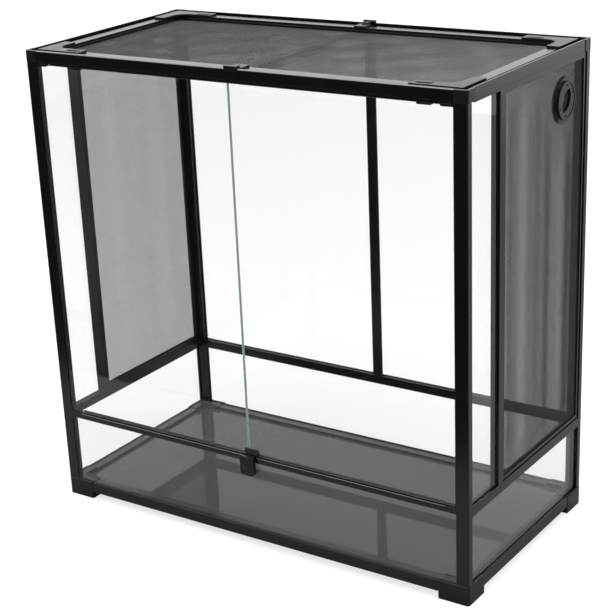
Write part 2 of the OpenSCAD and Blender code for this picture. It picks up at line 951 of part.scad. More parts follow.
module hinge_pin(z0, z1) {
    translate([hinge_x, hinge_y, z0])
        cylinder(d = pin_d, h = z1 - z0);
}

// ---- Lock ----

module lock_housing() {
    bolt_top = lock_z + lock_h;
    color("#2b2b2c")
        difference() {
            translate([0, -half_d, lock_z])
                rotate([90, 0, 0])
                    linear_extrude(lock_d)
                        lock_outline();
            slab([-bolt_w / 2, bolt_y - bolt_t / 2, bolt_z],
                [bolt_w / 2, bolt_y + bolt_t / 2, bolt_top + cut], bolt_gap);
            at_key()
                translate([0, 0, -key_proud - cut])
                    cylinder(d = key_d + 2 * bore_play, h = key_l + cut + pin_end);
            at_key()
                translate([0, (key_d + recess_d) / 2 + recess_gap, -cut])
                    cylinder(d = recess_d, h = recess_depth + cut);
        }
}

module lock_outline() {
    difference() {
        translate([-lock_w / 2, 0])
            square([lock_w, lock_h]);
        for (side = [0, 1])
            mirror([side, 0])
                translate([lock_w / 2, 0])
                    mirror([0, 1])
                        outer_round(lock_r);
    }
}

// Places a shape drawn inwards along +Z from the front of the lock, at the barrel
module at_key() {
    translate([key_x, -half_d - lock_d, lock_z + key_z])
        rotate([-90, 0, 0])
            mirror([0, 1, 0])
                children();
}

module lock_barrel() {
    color("#77787a")
        at_key()
            translate([0, 0, -key_proud])
                difference() {
                    cylinder(d = key_d, h = key_l);
                    translate([-key_slot_l / 2, -key_slot_w / 2, -cut])
                        cube([key_slot_l, key_slot_w, key_slot_d + cut]);
                }
}

module lock_bolt() {
    color("#161617")
        slab([-bolt_w / 2, bolt_y - bolt_t / 2, bolt_z],
            [bolt_w / 2, bolt_y + bolt_t / 2, bolt_z + bolt_h]);
}

// ---- Screen lid ----

// Four bars round the mesh, each stepped along its inner face and grooved for the mesh
module screen_frame() {
    color("#1d1d1f")
        difference() {
            for (side = [-1, 1])
                at_corner(side, side)
                    screen_bars();
            slab([-lid_in_x - mesh_in, -lid_in_y - mesh_in, lid_z + lid_mesh_z],
                [lid_in_x + mesh_in, lid_in_y + mesh_in, lid_z + lid_mesh_z + mesh_t], joint_gap);
            for (side = [-1, 1], end = [-1, 1])
                at_corner(side, end)
                    slab([latch_x - stem_w / 2, stem_y - stem_d, lid_z - cut],
                        [latch_x + stem_w / 2, stem_y + latch_travel, lid_top + cut], latch_gap);
        }
}

// One long bar and one short bar
module screen_bars() {
    short_y = lid_in_y - joint_gap;
    half_h = lid_bar_h / 2;
    slab([-lid_x, lid_in_y, lid_z], [lid_x, lid_y, lid_z + half_h]);
    slab([-lid_x, lid_in_y + lid_step, lid_z + half_h], [lid_x, lid_y, lid_top]);
    slab([lid_in_x, -short_y, lid_z], [lid_x, short_y, lid_z + half_h]);
    slab([lid_in_x + lid_step, -short_y, lid_z + half_h], [lid_x, short_y, lid_top]);
}

module screen_mesh() {
    color("#6d6b6e")
        slab([-lid_in_x - mesh_in, -lid_in_y - mesh_in, lid_z + lid_mesh_z],
            [lid_in_x + mesh_in, lid_in_y + mesh_in, lid_z + lid_mesh_z + mesh_t]);
}

module screen_crossbar() {
    reach = inner_y - cross_bar_end;
    color("#1d1d1f")
        slab([mid_x - cross_bar_w / 2, -reach, lid_z - cross_bar_h],
            [mid_x + cross_bar_w / 2, reach, lid_z]);
}

// Corner pieces with a fillet inside and a pocket for the latch knob
module screen_corners() {
    color("#2b2b2c")
        for (side = [-1, 1], end = [-1, 1])
            at_corner(side, end)
                translate([lid_x, lid_y, lid_top])
                    linear_extrude(lid_corner_t)
                        corner_outline();
}

module corner_outline() {
    knob_y = stem_y - stem_d / 2 - lid_y;
    difference() {
        union() {
            ell(lid_arm_x, lid_arm_y, lid_bar_w, post_r);
            translate([-lid_bar_w - lid_fillet, -lid_bar_w - lid_fillet])
                difference() {
                    square(lid_fillet + cut);
                    circle(r = lid_fillet);
                }
        }
        translate([latch_x - lid_x, knob_y])
            swept_stadium(knob_l + 2 * latch_gap, knob_d + 2 * latch_gap, latch_travel);
    }
}

// Thumb latch: the knob on the lid, the stem through the bar and the tongue below
module latch(side, end) {
    stem_mid = stem_y - stem_d / 2;
    color("#2b2b2c")
        at_corner(side, end) {
            translate([latch_x, stem_mid, lid_top + latch_gap])
                linear_extrude(lid_corner_t + knob_proud - latch_gap)
                    stadium(knob_l, knob_d);
            slab([latch_x - stem_w / 2, stem_y - stem_d, tongue_top - cut],
                [latch_x + stem_w / 2, stem_y, lid_top + latch_gap + cut]);
            slab([latch_x - tongue_w / 2, tongue_y - tongue_d, tongue_top - tongue_h],
                [latch_x + tongue_w / 2, tongue_y, tongue_top]);
        }
}

// Middle blocks, with straps that carry the lift tabs over the rim
module screen_clips() {
    strap_z = cab_h + tab_gap;
    strap_y = lid_y - riser_d;
    tab_y = half_d + plastic_proud;
    color("#2b2b2c")
        for (end = [-1, 1])
            at_corner(1, end)
                translate([mid_x, 0, 0]) {
                    slab([-block_w / 2, lid_in_y, lid_top], [block_w / 2, lid_y, lid_top + block_h]);
                    slab([-strap_w / 2, strap_y, lid_top], [strap_w / 2, lid_y, strap_z + strap_t]);
                    slab([-strap_w / 2, strap_y, strap_z], [strap_w / 2, tab_y, strap_z + strap_t]);
                    slab([-tab_w / 2, tab_y - tab_d, strap_z], [tab_w / 2, tab_y, cab_h + tab_h]);
                    slab([-tab_w / 2, half_d + tab_gap, strap_z - hook_h],
                        [tab_w / 2, tab_y, strap_z + cut]);
                }
}

foot(-1, -1);  // foot_front_left
foot(1, -1);  // foot_front_right
foot(-1, 1);  // foot_back_left
foot(1, 1);  // foot_back_right
base_bar(FRONT);  // base_bar_front
base_bar(BACK);  // base_bar_back
base_bar(LEFT);  // base_bar_left
base_bar(RIGHT);  // base_bar_right
post(-1, -1);  // post_front_left
post(1, -1);  // post_front_right
post(-1, 1);  // post_back_left
post(1, 1);  // post_back_right
top_bar(FRONT);  // top_bar_front
top_bar(BACK);  // top_bar_back
top_bar(LEFT);  // top_bar_left
top_bar(RIGHT);  // top_bar_right
cap(-1, -1);  // cap_front_left
cap(1, -1);  // cap_front_right
cap(-1, 1);  // cap_back_left
cap(1, 1);  // cap_back_right
door_sill();
cross_bar(BACK);  // cross_bar_back
cross_bar(LEFT);  // cross_bar_left
cross_bar(RIGHT);  // cross_bar_right
divider_back();
divider_side(-1);  // divider_left
divider_side(1);  // divider_right
pane("floor");  // floor_glass
pane("front");  // lower_glass_front
pane("back");  // lower_glass_back
pane("left");  // lower_glass_left
pane("right");  // lower_glass_right
pane("upper_left");  // upper_glass_back_left
pane("upper_right");  // upper_glass_back_right
pane("strip_left");  // strip_glass_left
pane("strip_right");  // strip_glass_right
side_mesh(-1);  // side_mesh_left
side_mesh(1);  // side_mesh_right
mesh_frame(-1);  // mesh_frame_left
mesh_frame(1);  // mesh_frame_right
port_flange();
port_clamp_ring();
port_shutter();
port_screws();
door_glass(-1);  // door_glass_left
door_glass(1);  // door_glass_right
door_fittings(-1);  // door_fittings_left
door_fittings(1);  // door_fittings_right
lock_housing();
lock_barrel();
lock_bolt();
screen_frame();
screen_corners();
screen_mesh();
screen_crossbar();
screen_clips();
latch(-1, -1);  // latch_front_left
latch(1, -1);  // latch_front_right
latch(-1, 1);  // latch_back_left
latch(1, 1);  // latch_back_right
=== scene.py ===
"""A reptile terrarium of black bars, clear panes and woven mesh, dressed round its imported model."""

import itertools
import logging
import math
from collections.abc import Callable
from dataclasses import dataclass
from enum import Enum

import bpy
from mathutils import Matrix, Vector


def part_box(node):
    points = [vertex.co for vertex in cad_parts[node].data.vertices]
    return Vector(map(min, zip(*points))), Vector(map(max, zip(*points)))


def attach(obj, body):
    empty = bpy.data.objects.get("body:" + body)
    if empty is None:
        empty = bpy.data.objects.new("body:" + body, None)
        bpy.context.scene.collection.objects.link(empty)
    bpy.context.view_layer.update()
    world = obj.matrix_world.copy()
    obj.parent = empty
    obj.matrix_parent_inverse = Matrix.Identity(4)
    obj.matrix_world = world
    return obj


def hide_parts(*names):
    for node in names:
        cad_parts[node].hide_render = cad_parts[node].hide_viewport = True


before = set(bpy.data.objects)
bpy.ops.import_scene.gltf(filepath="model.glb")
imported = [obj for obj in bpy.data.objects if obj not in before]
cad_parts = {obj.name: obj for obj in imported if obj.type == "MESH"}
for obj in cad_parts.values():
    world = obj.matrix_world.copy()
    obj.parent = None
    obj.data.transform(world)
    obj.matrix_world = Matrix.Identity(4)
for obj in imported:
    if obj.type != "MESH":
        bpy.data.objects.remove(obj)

log = logging.getLogger("terrarium")

MM = 0.001
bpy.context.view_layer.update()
MERGE_MM = 0.002
FLAT_DEGREES = 0.5
SHARP_DEGREES = 40.0
FACING = 0.95
Rgba = tuple[float, float, float, float]
Point = tuple[float, float, float]
Tree = bpy.types.NodeTree
Socket = bpy.types.NodeSocket
Node = bpy.types.Node
Piece = bpy.types.Object


class Axis(Enum):
    """The three directions of the shared frame, as vector indices."""

    X = 0
    Y = 1
    Z = 2


# ---------------------------------------------------------------- colour and nodes


def linear(hex_colour: str) -> Rgba:
    """Turns an sRGB hex colour to the linear colour that shaders read.

    Args:
        hex_colour: six hex digits after a hash.

    Returns:
        Red, green, blue and an alpha of 1.
    """
    channels = [int(hex_colour[i : i + 2], 16) / 255 for i in (1, 3, 5)]
    red, green, blue = [
        c / 12.92 if c <= 0.04045 else ((c + 0.055) / 1.055) ** 2.4 for c in channels
    ]
    return red, green, blue, 1.0


def add_node(
    tree: Tree,
    kind: str,
    settings: dict[str | int, object] | None = None,
    links: dict[str | int, Socket] | None = None,
) -> Node:
    """Adds a node with its settings and its incoming links.

    Args:
        tree: the node tree that gets the node.
        kind: the node's type name.
        settings: values by input name or number, or by the node's own attribute.
        links: the output socket that feeds each input, by input name or number.

    Returns:
        The new node.
    """
    node = tree.nodes.new(kind)
    for name, value in (settings or {}).items():
        if isinstance(name, int) or name in node.inputs:
            node.inputs[name].default_value = value
        else:
            setattr(node, name, value)
    for name, socket in (links or {}).items():
        tree.links.new(socket, node.inputs[name])
    return node


def per_metre(size_mm: float) -> float:
    """Returns the texture scale at which one pattern feature is size_mm wide."""
    return 1.0 / (size_mm * MM)


# ---------------------------------------------------------------- finishes


@dataclass(frozen=True)
class Finish:
    """One surface finish, built once as a material and shared by its pieces."""

    name: str
    slot: str

    def material(self) -> bpy.types.Material:
        """Makes the material, or finds it where it is there already.

        Returns:
            The one material of this finish.
        """
        made = bpy.data.materials.get(self.name)
        if made is not None:
            return made
        made = bpy.data.materials.new(self.name)
        made.use_nodes = True
        tree = made.node_tree
        tree.nodes.clear()
        output = add_node(tree, "ShaderNodeOutputMaterial")
        surface = add_node(tree, "ShaderNodeBsdfPrincipled")
        tree.links.new(surface.outputs["BSDF"], output.inputs["Surface"])
        place = add_node(tree, "ShaderNodeTexCoord").outputs["Object"]
        self.shade(tree, place, surface)
        return made

    def shade(self, tree: Tree, place: Socket, surface: Node) -> None:
        """Sets the shader up.

        Args:
            tree: the material's node tree.
            place: the object coordinates, in metres.
            surface: the Principled node that the output shows.
        """
        raise NotImplementedError

    def mottle(
        self,
        tree: Tree,
        place: Socket,
        surface: Node,
        patch_mm: float,
        colours: tuple[str, str],
        gloss: tuple[float, float] | None = None,
        **noise: float,
    ) -> None:
        """Varies the colour in soft patches, and the gloss with it where that is asked.

        Args:
            tree: the material's node tree.
            place: the object coordinates, in metres.
            surface: the Principled node that the output shows.
            patch_mm: how wide a patch is.
            colours: the two sRGB colours that the patches run between.
            gloss: the two roughnesses that they run between, or none where it is even.
            noise: further inputs of the noise, such as its Detail.
        """
        patch = add_node(
            tree,
            "ShaderNodeTexNoise",
            {"Scale": per_metre(patch_mm), **noise},
            {"Vector": place},
        )
        tone = add_node(
            tree,
            "ShaderNodeMix",
            {"data_type": "RGBA", 6: linear(colours[0]), 7: linear(colours[1])},
            {0: patch.outputs["Fac"]},
        )
        tree.links.new(tone.outputs[2], surface.inputs["Base Color"])
        if gloss:
            sheen = add_node(
                tree,
                "ShaderNodeMapRange",
                {"To Min": gloss[0], "To Max": gloss[1]},
                {"Value": patch.outputs["Fac"]},
            )
            tree.links.new(sheen.outputs["Result"], surface.inputs["Roughness"])


@dataclass(frozen=True)
class PowderCoatedAluminium(Finish):
    """Extruded aluminium with a black satin powder coat.

    Powder flows out as it is baked, so the eye gets a smooth satin skin with a slight
    orange peel, faintly cloudy where the coat is thinner.
    """

    name: str = "powder_coated_aluminium"
    slot: str = "black_bar"
    deep: str = "#070707"
    thin: str = "#0d0d0e"
    peel_mm: float = 2.2
    cloud_mm: float = 60.0
    peel_depth_mm: float = 0.012
    peel_strength: float = 0.35
    roughness: tuple[float, float] = (0.16, 0.27)
    ior: float = 1.5

    def shade(self, tree: Tree, place: Socket, surface: Node) -> None:
        """Satin coat: cloudy colour and gloss over a fine orange peel.

        Args:
            tree: the material's node tree.
            place: the object coordinates, in metres.
            surface: the Principled node that the output shows.
        """
        self.mottle(
            tree,
            place,
            surface,
            self.cloud_mm,
            (self.deep, self.thin),
            self.roughness,
            Detail=4.0,
            Roughness=0.6,
        )
        peel = add_node(
            tree,
            "ShaderNodeTexNoise",
            {"Scale": per_metre(self.peel_mm), "Detail": 1.0},
            {"Vector": place},
        )
        bump = add_node(
            tree,
            "ShaderNodeBump",
            {"Strength": self.peel_strength, "Distance": self.peel_depth_mm * MM},
            {"Height": peel.outputs["Fac"]},
        )
        surface.inputs["IOR"].default_value = self.ior
        tree.links.new(bump.outputs["Normal"], surface.inputs["Normal"])


@dataclass(frozen=True)
class MouldedAbs(Finish):
    """ABS moulded against a spark-eroded steel tool.

    The tool leaves a fine even grain, so the plastic looks softer and greyer than the
    coated bars beside it, with a little polish where hands and edges rub it.
    """

    name: str = "moulded_abs"
    slot: str = "black_plastic"
    body: str = "#0f0f10"
    rubbed: str = "#171718"
    grain_mm: float = 0.9
    flow_mm: float = 25.0
    grain_depth_mm: float = 0.03
    grain_strength: float = 0.5
    roughness: tuple[float, float] = (0.24, 0.38)
    ior: float = 1.53
    specular: float = 0.3

    def shade(self, tree: Tree, place: Socket, surface: Node) -> None:
        """Grained plastic: an eroded grain, drawn coarse enough to show, over slow flow marks.

        Args:
            tree: the material's node tree.
            place: the object coordinates, in metres.
            surface: the Principled node that the output shows.
        """
        self.mottle(
            tree,
            place,
            surface,
            self.flow_mm,
            (self.body, self.rubbed),
            self.roughness,
            Detail=3.0,
        )
        grain = add_node(
            tree,
            "ShaderNodeTexVoronoi",
            {"Scale": per_metre(self.grain_mm), "feature": "SMOOTH_F1"},
            {"Vector": place},
        )
        bump = add_node(
            tree,
            "ShaderNodeBump",
            {"Strength": self.grain_strength, "Distance": self.grain_depth_mm * MM},
            {"Height": grain.outputs["Distance"]},
        )
        surface.inputs["IOR"].default_value = self.ior
        surface.inputs["Specular IOR Level"].default_value = self.specular
        tree.links.new(bump.outputs["Normal"], surface.inputs["Normal"])


@dataclass(frozen=True)
class FloatGlass(Finish):
    """Clear float glass: flat and bright, with a trace of green from its iron.

    A pane's two faces are flat and parallel, so light goes straight on through it, less
    what each face mirrors.
    """

    name: str = "float_glass"
    slot: str = "clear_glass"
    tint: str = "#fdfdfd"
    ior: float = 1.5
    wave_mm: float = 180.0
    wave_depth_mm: float = 0.02
    wave_strength: float = 0.1

    def shade(self, tree: Tree, place: Socket, surface: Node) -> None:
        """Straight-through glass whose mirror share follows the angle, on either face.

        Args:
            tree: the material's node tree.
            place: the object coordinates, in metres.
            surface: the Principled node that the output shows.
        """
        tree.nodes.remove(surface)
        wave = add_node(
            tree,
            "ShaderNodeTexNoise",
            {"Scale": per_metre(self.wave_mm), "Detail": 0.0},
            {"Vector": place},
        )
        bump = add_node(
            tree,
            "ShaderNodeBump",
            {"Strength": self.wave_strength, "Distance": self.wave_depth_mm * MM},
            {"Height": wave.outputs["Fac"]},
        )
        inner = add_node(tree, "ShaderNodeNewGeometry")
        ior = add_node(
            tree,
            "ShaderNodeMix",
            {"data_type": "FLOAT", 2: self.ior, 3: 1 / self.ior},
            {0: inner.outputs["Backfacing"]},
        )
        mirrored = add_node(tree, "ShaderNodeFresnel", links={"IOR": ior.outputs[0]})
        clear = add_node(tree, "ShaderNodeBsdfTransparent", {"Color": linear(self.tint)})
        mirror = add_node(
            tree,
            "ShaderNodeBsdfGlossy",
            {"Color": linear("#ffffff"), "Roughness": 0.0},
            {"Normal": bump.outputs["Normal"]},
        )
        mix = add_node(
            tree,
            "ShaderNodeMixShader",
            links={
                0: mirrored.outputs["Fac"],
                1: clear.outputs["BSDF"],
                2: mirror.outputs["BSDF"],
            },
        )
        output = next(n for n in tree.nodes if n.type == "OUTPUT_MATERIAL")
        tree.links.new(mix.outputs["Shader"], output.inputs["Surface"])


@dataclass(frozen=True)
class GroundGlassEdge(Finish):
    """The ground edge of a float glass pane.

    The belt leaves it finely frosted, and light that has run the pane's whole width
    comes out of it blue-green.
    """

    name: str = "ground_glass_edge"
    slot: str = "clear_glass"
    pale: str = "#b9d0c8"
    deep: str = "#7d9a92"
    streak_mm: float = 3.0
    grind_mm: float = 0.5
    grind_depth_mm: float = 0.02
    grind_strength: float = 0.3
    roughness: float = 0.35
    ior: float = 1.5

    def shade(self, tree: Tree, place: Socket, surface: Node) -> None:
        """Frosted blue-green with grinding streaks across the edge.

        Args:
            tree: the material's node tree.
            place: the object coordinates, in metres.
            surface: the Principled node that the output shows.
        """
        self.mottle(
            tree, place, surface, self.streak_mm, (self.pale, self.deep), Detail=5.0
        )
        grind = add_node(
            tree,
            "ShaderNodeTexNoise",
            {"Scale": per_metre(self.grind_mm), "Detail": 1.0},
            {"Vector": place},
        )
        bump = add_node(
            tree,
            "ShaderNodeBump",
            {"Strength": self.grind_strength, "Distance": self.grind_depth_mm * MM},
            {"Height": grind.outputs["Fac"]},
        )
        surface.inputs["Roughness"].default_value = self.roughness
        surface.inputs["IOR"].default_value = self.ior
        tree.links.new(bump.outputs["Normal"], surface.inputs["Normal"])


@dataclass(frozen=True)
class ShadedSeatedGlassEdge(GroundGlassEdge):
    """A ground edge that is set in a bar's groove or shut against it.

    Little light reaches it there, so its colour is a painted shade: a near-black green line in the
    pane.
    """

    name: str = "seated_glass_edge_painted_shade"
    # painted shade: near-black greens stand in for the shadow in the groove
    pale: str = "#18201e"
    deep: str = "#0c1211"


@dataclass(frozen=True)
class DarkFloorGlass(Finish):
    """Back-painted float glass for the floor: a dark mirror with a light film of dust."""

    name: str = "dark_floor_glass"
    slot: str = "floor_glass"
    glass: str = "#33373a"
    dusty: str = "#424648"
    dust_mm: float = 140.0
    roughness: tuple[float, float] = (0.015, 0.05)
    ior: float = 1.52

    def shade(self, tree: Tree, place: Socket, surface: Node) -> None:
        """Dark gloss whose dust film greys it in slow patches.

        Args:
            tree: the material's node tree.
            place: the object coordinates, in metres.
            surface: the Principled node that the output shows.
        """
        self.mottle(
            tree,
            place,
            surface,
            self.dust_mm,
            (self.glass, self.dusty),
            self.roughness,
            Detail=6.0,
            Roughness=0.65,
        )
        surface.inputs["IOR"].default_value = self.ior


@dataclass(frozen=True)
class CoatedSteelWire(Finish):
    """Thin steel wire dipped in black epoxy: nearly black, with small bright glints."""

    name: str = "epoxy_coated_wire"
    slot: str = "screen_mesh"
    coat: str = "#201e24"
    worn: str = "#36333b"
    patch_mm: float = 35.0
    roughness: float = 0.4
    ior: float = 1.55

    def shade(self, tree: Tree, place: Socket, surface: Node) -> None:
        """Coated wire whose coat varies a little from place to place.

        Args:
            tree: the material's node tree.
            place: the object coordinates, in metres.
            surface: the Principled node that the output shows.
        """
        self.mottle(
            tree, place, surface, self.patch_mm, (self.coat, self.worn), Detail=3.0
        )
        surface.inputs["Roughness"].default_value = self.roughness
        surface.inputs["IOR"].default_value = self.ior


@dataclass(frozen=True)
class BlackPlatedSteel(Finish):
    """Turned steel with black zinc plate: a dark metal shine with fine tool marks."""

    name: str = "black_plated_steel"
    slot: str = "plated_steel"
    bright: str = "#5a585c"
    dull: str = "#37363a"
    mark_mm: float = 1.4
    roughness: tuple[float, float] = (0.2, 0.38)

    def shade(self, tree: Tree, place: Socket, surface: Node) -> None:
        """Plated metal: fine turning marks vary its gloss.

        Args:
            tree: the material's node tree.
            place: the object coordinates, in metres.
            surface: the Principled node that the output shows.
        """
        self.mottle(
            tree,
            place,
            surface,
            self.mark_mm,
            (self.bright, self.dull),
            self.roughness,
            Detail=4.0,
        )
        surface.inputs["Metallic"].default_value = 1.0


@dataclass(frozen=True)
class SealingRubber(Finish):
    """Extruded EPDM cord and strip: dull black that takes a faint bloom."""

    name: str = "epdm_rubber"
    slot: str = "black_plastic"
    body: str = "#0c0c0c"
    bloom: str = "#19191a"
    bloom_mm: float = 12.0
    roughness: float = 0.7

    def shade(self, tree: Tree, place: Socket, surface: Node) -> None:
        """Dull rubber with patches of bloom.

        Args:
            tree: the material's node tree.
            place: the object coordinates, in metres.
            surface: the Principled node that the output shows.
        """
        self.mottle(
            tree, place, surface, self.bloom_mm, (self.body, self.bloom), Detail=4.0
        )
        surface.inputs["Roughness"].default_value = self.roughness


BAR = PowderCoatedAluminium()
PLASTIC = MouldedAbs()
GLASS = FloatGlass()
GLASS_EDGE = GroundGlassEdge()
SEATED_EDGE_PAINTED_SHADE = ShadedSeatedGlassEdge()
FLOOR_GLASS = DarkFloorGlass()
WIRE = CoatedSteelWire()
STEEL = BlackPlatedSteel()
RUBBER = SealingRubber()


# ---------------------------------------------------------------- bench work


def pick_only(obj: Piece) -> None:
    """Deselects everything and makes one object selected and active.

    Args:
        obj: the object that the next operators act on.
    """
    bpy.ops.object.select_all(action="DESELECT")
    obj.select_set(True)
    bpy.context.view_layer.objects.active = obj


def edit_chosen(
    obj: Piece,
    edges: Callable[[bpy.types.MeshEdge], bool] | None = None,
    faces: Callable[[bpy.types.MeshPolygon], bool] | None = None,
) -> None:
    """Enters edit mode with only the edges or only the faces that pass a test selected.

    Args:
        obj: the piece to edit.
        edges: the test for edges, where edges are wanted.
        faces: the test for faces, where faces are wanted.
    """
    pick_only(obj)
    bpy.context.tool_settings.mesh_select_mode = (False, bool(edges), bool(faces))
    bpy.ops.object.mode_set(mode="EDIT")
    bpy.ops.mesh.select_all(action="DESELECT")
    bpy.ops.object.mode_set(mode="OBJECT")
    for items, wanted in ((obj.data.edges, edges), (obj.data.polygons, faces)):
        for item in items if wanted else ():
            item.select = wanted(item)
    bpy.ops.object.mode_set(mode="EDIT")


def apply_modifier(obj: Piece, kind: str, **settings: object) -> None:
    """Adds one modifier with its settings and applies it.

    Args:
        obj: the piece that gets it.
        kind: the modifier's type name.
        settings: the modifier's own attributes.
    """
    pick_only(obj)
    modifier = obj.modifiers.new(kind.lower(), kind)
    for name, value in settings.items():
        setattr(modifier, name, value)
    bpy.ops.object.modifier_apply(modifier=modifier.name)


def smooth_by_angle(obj: Piece, degrees: float = 35.0) -> None:
    """Shades a piece smooth, with its edges over the angle kept sharp."""
    pick_only(obj)
    bpy.ops.object.shade_smooth_by_angle(angle=math.radians(degrees))


def dress(
    obj: Piece, body: str, finish: Finish, *more: Finish
) -> Piece:
    """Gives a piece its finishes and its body.

    Args:
        obj: the piece, already in place.
        body: the CAD body that it moves with.
        finish: the finish of its first material slot.
        more: the finishes of its further slots.

    Returns:
        The same piece.
    """
    obj.data.materials.clear()
    for each in (finish, *more):
        obj.data.materials.append(each.material())
    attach(obj, body)
    log.info("%s: %d faces, rides on %s", obj.name, len(obj.data.polygons), body)
    return obj


def eased_copy(node: str, name: str, ease_mm: float, segments: int = 2) -> Piece:
    """Copies a CAD node and rounds its sharp edges, as the real piece's are.

    Args:
        node: the CAD node to copy and hide.
        name: the new piece's name.
        ease_mm: how wide the rounding is.
        segments: how many faces the rounding has.

    Returns:
        The new piece, which stands for the node.
    """
    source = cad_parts[node]
    copy = bpy.data.objects.new(name, source.data.copy())
    bpy.context.scene.collection.objects.link(copy)
    pick_only(copy)
    bpy.ops.object.mode_set(mode="EDIT")
    bpy.ops.mesh.select_all(action="SELECT")
    bpy.ops.mesh.remove_doubles(threshold=MERGE_MM * MM)
    bpy.ops.mesh.dissolve_limited(angle_limit=math.radians(FLAT_DEGREES))
    bpy.ops.object.mode_set(mode="OBJECT")
    if copy.data.has_custom_normals:
        bpy.ops.mesh.customdata_custom_splitnormals_clear()
    apply_modifier(
        copy,
        "BEVEL",
        width=ease_mm * MM,
        segments=segments,
        limit_method="ANGLE",
        angle_limit=math.radians(SHARP_DEGREES),
        use_clamp_overlap=True,
    )
    smooth_by_angle(copy, SHARP_DEGREES)
    apply_modifier(copy, "WEIGHTED_NORMAL", keep_sharp=True, weight=100)
    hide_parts(node)
    return copy


def set_size_and_place(obj: Piece, size: Point | Vector, centre: Point | Vector) -> None:
    """Sizes and moves a unit primitive's mesh, so that its object stays at the origin.

    Args:
        obj: the primitive, still one unit wide and at the origin.
        size: its size along the three axes.
        centre: where its middle goes.
    """
    pick_only(obj)
    bpy.ops.object.mode_set(mode="EDIT")
    bpy.ops.mesh.select_all(action="SELECT")
    bpy.ops.transform.resize(value=size)
    bpy.ops.transform.translate(value=centre)
    bpy.ops.object.mode_set(mode="OBJECT")


def ring_frame(
    name: str, axis: Axis, low: Point, high: Point, width: float
) -> Piece:
    """Models a flat rectangular ring, such as a cord or a seal laid round an opening.

    Args:
        name: the piece's name.
        axis: the direction that the ring faces.
        low: the lowest corner of the ring's box.
        high: the highest corner of the ring's box.
        width: how wide the ring's band is.

    Returns:
        The ring, still without a finish.
    """
    bpy.ops.object.select_all(action="DESELECT")
    bpy.ops.mesh.primitive_cube_add(size=1.0)
    ring = bpy.context.object
    ring.name = name
    low, high = Vector(low), Vector(high)
    set_size_and_place(ring, high - low, (low + high) / 2)
    edit_chosen(ring, faces=lambda face: abs(face.normal[axis.value]) > FACING)
    bpy.ops.mesh.inset(thickness=width, use_individual=True)
    bpy.ops.mesh.bridge_edge_loops()
    bpy.ops.object.mode_set(mode="OBJECT")
    return ring


# ---------------------------------------------------------------- woven mesh


UPRIGHT_TO = {Axis.X: (0, math.pi / 2, 0), Axis.Y: (math.pi / 2, 0, 0), Axis.Z: (0, 0, 0)}


